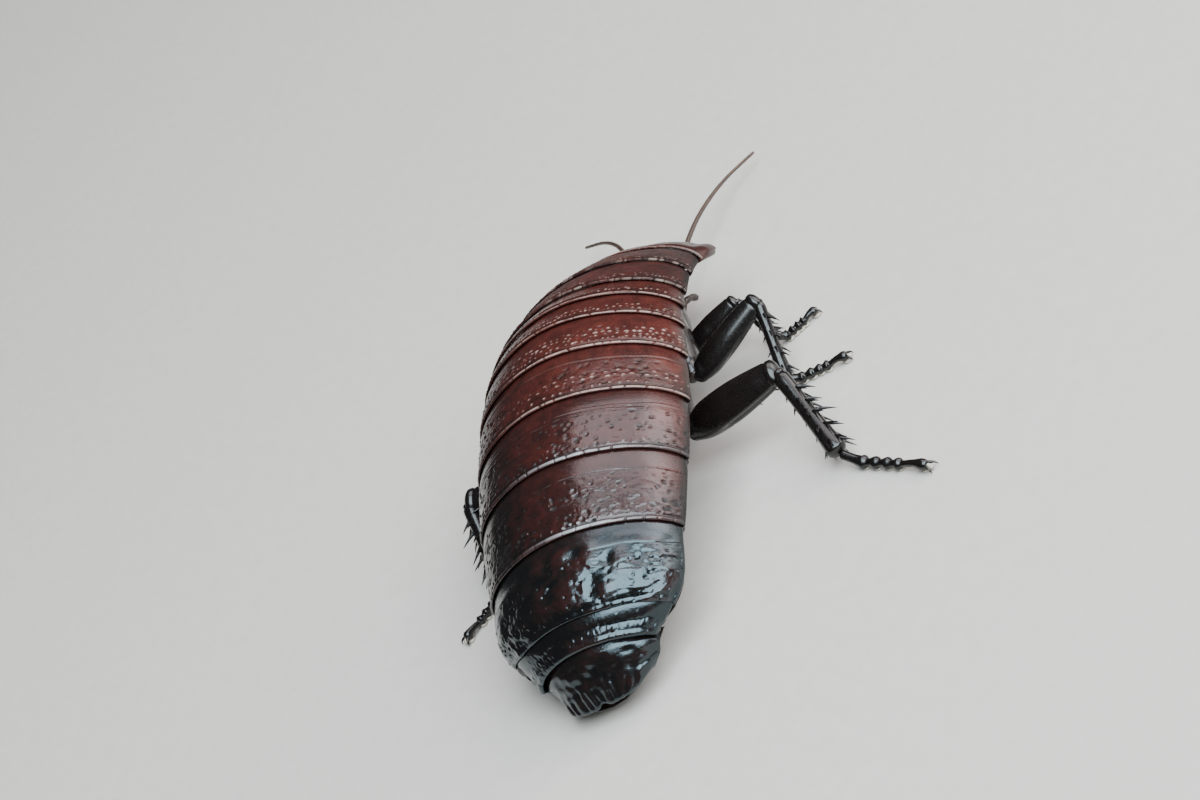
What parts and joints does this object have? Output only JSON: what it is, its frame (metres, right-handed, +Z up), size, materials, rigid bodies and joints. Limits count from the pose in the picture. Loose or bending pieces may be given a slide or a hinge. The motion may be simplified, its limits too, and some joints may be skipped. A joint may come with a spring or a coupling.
{
  "type": "madagascar hissing cockroach",
  "caption": "Still, life-size model of a wingless, broad-bodied hissing cockroach standing on spiny legs, with overlapping glossy plates and its head tucked under a shield.",
  "frame": {"origin": "middle of the whole model's footprint box, feelers included, on the floor the feet stand on", "axes": "+Y towards the head, +X to the animal's right, +Z up"},
  "size_m": [0.0582, 0.089, 0.0215],
  "materials": {
    "shell_maroon": "gloss",
    "shell_dark": "gloss",
    "underside_brown": "satin",
    "leg_black": "gloss",
    "eye_black": "gloss",
    "feeler_brown": "satin"
  },
  "bodies": {
    "root": {"abdomen_segment_1": "shell_maroon", "abdomen_segment_2": "shell_maroon", "abdomen_segment_3": "shell_maroon", "abdomen_segment_4": "shell_maroon", "abdomen_segment_5": "shell_maroon", "abdomen_segment_6": "shell_dark", "abdomen_segment_7": "shell_dark", "abdomen_segment_8": "shell_dark", "antenna_left": "feeler_brown", "antenna_right": "feeler_brown", "cercus_left": "shell_dark", "cercus_right": "shell_dark", "coxa_front_left": "leg_black", "coxa_front_right": "leg_black", "coxa_hind_left": "leg_black", "coxa_hind_right": "leg_black", "coxa_mid_left": "leg_black", "coxa_mid_right": "leg_black", "eye_left": "eye_black", "eye_right": "eye_black", "femur_front_left": "leg_black", "femur_front_right": "leg_black", "femur_hind_left": "leg_black", "femur_hind_right": "leg_black", "femur_mid_left": "leg_black", "femur_mid_right": "leg_black", "head": "shell_dark", "mesonotum": "shell_maroon", "metanotum": "shell_maroon", "palp_left": "feeler_brown", "palp_right": "feeler_brown", "pronotum": "shell_dark", "subgenital_plate": "underside_brown", "supra_anal_plate": "shell_dark", "tarsus_front_left": "leg_black", "tarsus_front_right": "leg_black", "tarsus_hind_left": "leg_black", "tarsus_hind_right": "leg_black", "tarsus_mid_left": "leg_black", "tarsus_mid_right": "leg_black", "thorax_underside": "underside_brown", "tibia_front_left": "leg_black", "tibia_front_right": "leg_black", "tibia_hind_left": "leg_black", "tibia_hind_right": "leg_black", "tibia_mid_left": "leg_black", "tibia_mid_right": "leg_black"}
  },
  "joints": []
}
